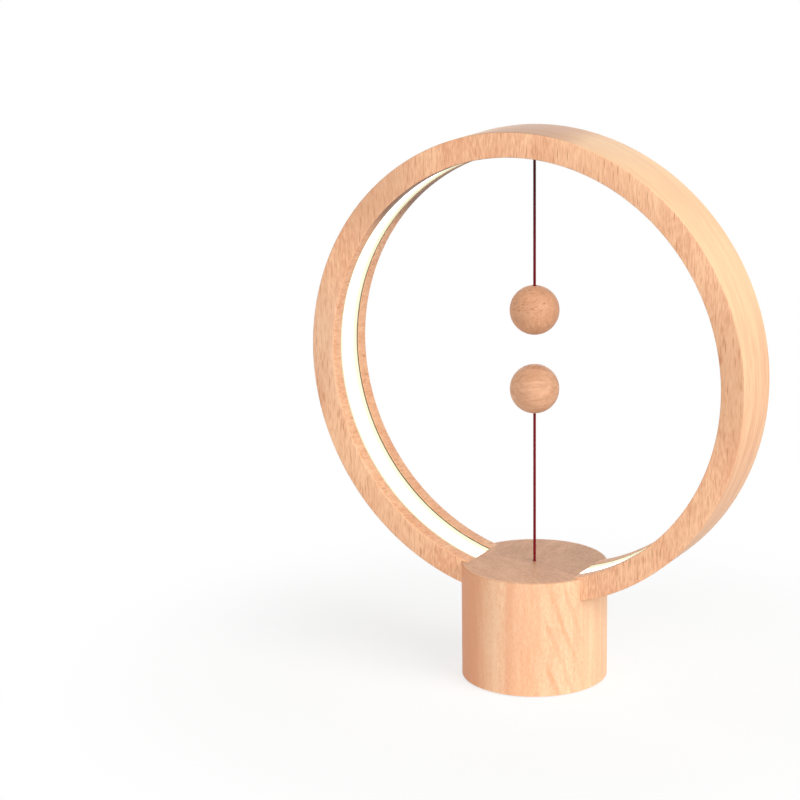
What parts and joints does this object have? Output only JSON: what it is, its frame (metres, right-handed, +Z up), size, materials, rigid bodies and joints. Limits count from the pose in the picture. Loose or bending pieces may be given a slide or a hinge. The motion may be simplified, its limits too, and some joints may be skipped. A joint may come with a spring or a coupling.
{
  "type": "magnetic balance lamp",
  "caption": "Desk lamp: a glowing wooden ring on a round base, switched by magnetic balls on strings that meet in mid-air.",
  "frame": {"origin": "centre of the base's underside, on the surface that the foot ring stands on", "axes": "+Z up, the ring in the XZ plane, -Y the front, +Y the back with the power inlet"},
  "size_m": [0.23, 0.072, 0.272],
  "materials": {
    "beech": "oiled, satin",
    "red_string": "waxed twisted thread",
    "frosted_diffuser": "frosted silicone, glows",
    "strip_board": "white solder mask",
    "light_chip": "phosphor",
    "brass": "turned",
    "magnet_plating": "nickel plated",
    "steel": "zinc plated",
    "spring_steel": "drawn wire",
    "black_plastic": "moulded, fine texture",
    "grey_plastic": "moulded",
    "white_plastic": "acetal, smooth",
    "red_plastic": "acetal, smooth",
    "tin": "tinned",
    "circuit_board": "green solder mask",
    "wire_sheath": "soft sheath",
    "silicone": "matt"
  },
  "bodies": {
    "base": {"ring": "beech", "base_shell": "beech", "base_cap": "beech", "cap_dowels": "beech", "upper_anchor_knot": "red_string", "upper_cord_inside": "red_string", "diffuser": "frosted_diffuser", "led_strip": "strip_board", "led_chips": "light_chip", "top_ferrule": "brass", "cord_guide_tube": "brass", "board_spacers": "brass", "ballast_disc": "steel", "ballast_screws": "steel", "cover_screws": "steel", "ring_screws": "steel", "bracket_screws": "steel", "board_screws": "steel", "microswitch_screws": "steel", "lever_pin": "steel", "return_spring": "spring_steel", "microswitch_body": "black_plastic", "bottom_cover": "black_plastic", "driver_chip": "black_plastic", "inlet_tongue": "black_plastic", "resistors": "black_plastic", "switch_bracket": "grey_plastic", "capacitors": "grey_plastic", "microswitch_terminals": "tin", "inlet_shell": "tin", "circuit_board": "circuit_board", "led_leads": "wire_sheath", "switch_leads": "wire_sheath", "foot_ring": "silicone"},
    "upper_gimbal": {"upper_cord_bend": "red_string"},
    "upper_string": {"upper_cord": "red_string", "upper_ball_knot": "red_string"},
    "upper_float": {"upper_ball": "beech", "upper_ball_plug": "beech", "upper_magnet": "magnet_plating"},
    "pull": {"pull_slider": "white_plastic", "slider_knot": "red_string", "lower_cord_inside": "red_string"},
    "lower_gimbal": {"lower_cord_bend": "red_string"},
    "lower_string": {"lower_cord": "red_string", "lower_ball_knot": "red_string"},
    "lower_float": {"lower_ball": "beech", "lower_ball_plug": "beech", "lower_magnet": "magnet_plating"},
    "lever": {"switch_lever": "white_plastic"},
    "button": {"microswitch_button": "red_plastic"}
  },
  "joints": [
    {"name": "upper_swing_side", "type": "hinge", "parent": "base", "child": "upper_gimbal", "pos_m": [0, 0, 0.2602], "axis": [0, 1, 0], "range_deg": [-55, 55]},
    {"name": "upper_swing_front", "type": "hinge", "parent": "upper_gimbal", "child": "upper_string", "pos_m": [0, 0, 0.2602], "axis": [1, 0, 0], "range_deg": [-75, 75]},
    {"name": "upper_ball_turn", "type": "hinge", "parent": "upper_string", "child": "upper_float", "pos_m": [0, 0, 0.1845], "axis": [0, 0, 1], "continuous": true},
    {"name": "cord_pull", "type": "slide", "parent": "base", "child": "pull", "axis": [0, 0, 1], "range_m": [-0.0015, 0], "stiffness_N_per_m": 200, "springref_m": 0.005, "deforming": ["return_spring"]},
    {"name": "lower_swing_side", "type": "hinge", "parent": "pull", "child": "lower_gimbal", "pos_m": [0, 0, 0.06025], "axis": [0, 1, 0], "range_deg": [-55, 55], "stiffness_Nm_per_rad": 0.03},
    {"name": "lower_swing_front", "type": "hinge", "parent": "lower_gimbal", "child": "lower_string", "pos_m": [0, 0, 0.06025], "axis": [1, 0, 0], "range_deg": [-78, 78], "stiffness_Nm_per_rad": 0.03},
    {"name": "lower_ball_turn", "type": "hinge", "parent": "lower_string", "child": "lower_float", "pos_m": [0, 0, 0.1455], "axis": [0, 0, 1], "continuous": true},
    {"name": "switch_lever_turn", "type": "hinge", "parent": "base", "child": "lever", "pos_m": [0.0135, 0, 0.0257], "axis": [0, 1, 0], "range_deg": [-10.8, 0]},
    {"name": "switch_button_press", "type": "slide", "parent": "base", "child": "button", "axis": [0, 0, 1], "range_m": [0, 0.00076]}
  ],
  "couplings": [
    {"joint": "switch_lever_turn", "follows": "cord_pull", "rad_per_m": 125},
    {"joint": "switch_button_press", "follows": "cord_pull", "ratio": -0.5}
  ]
}
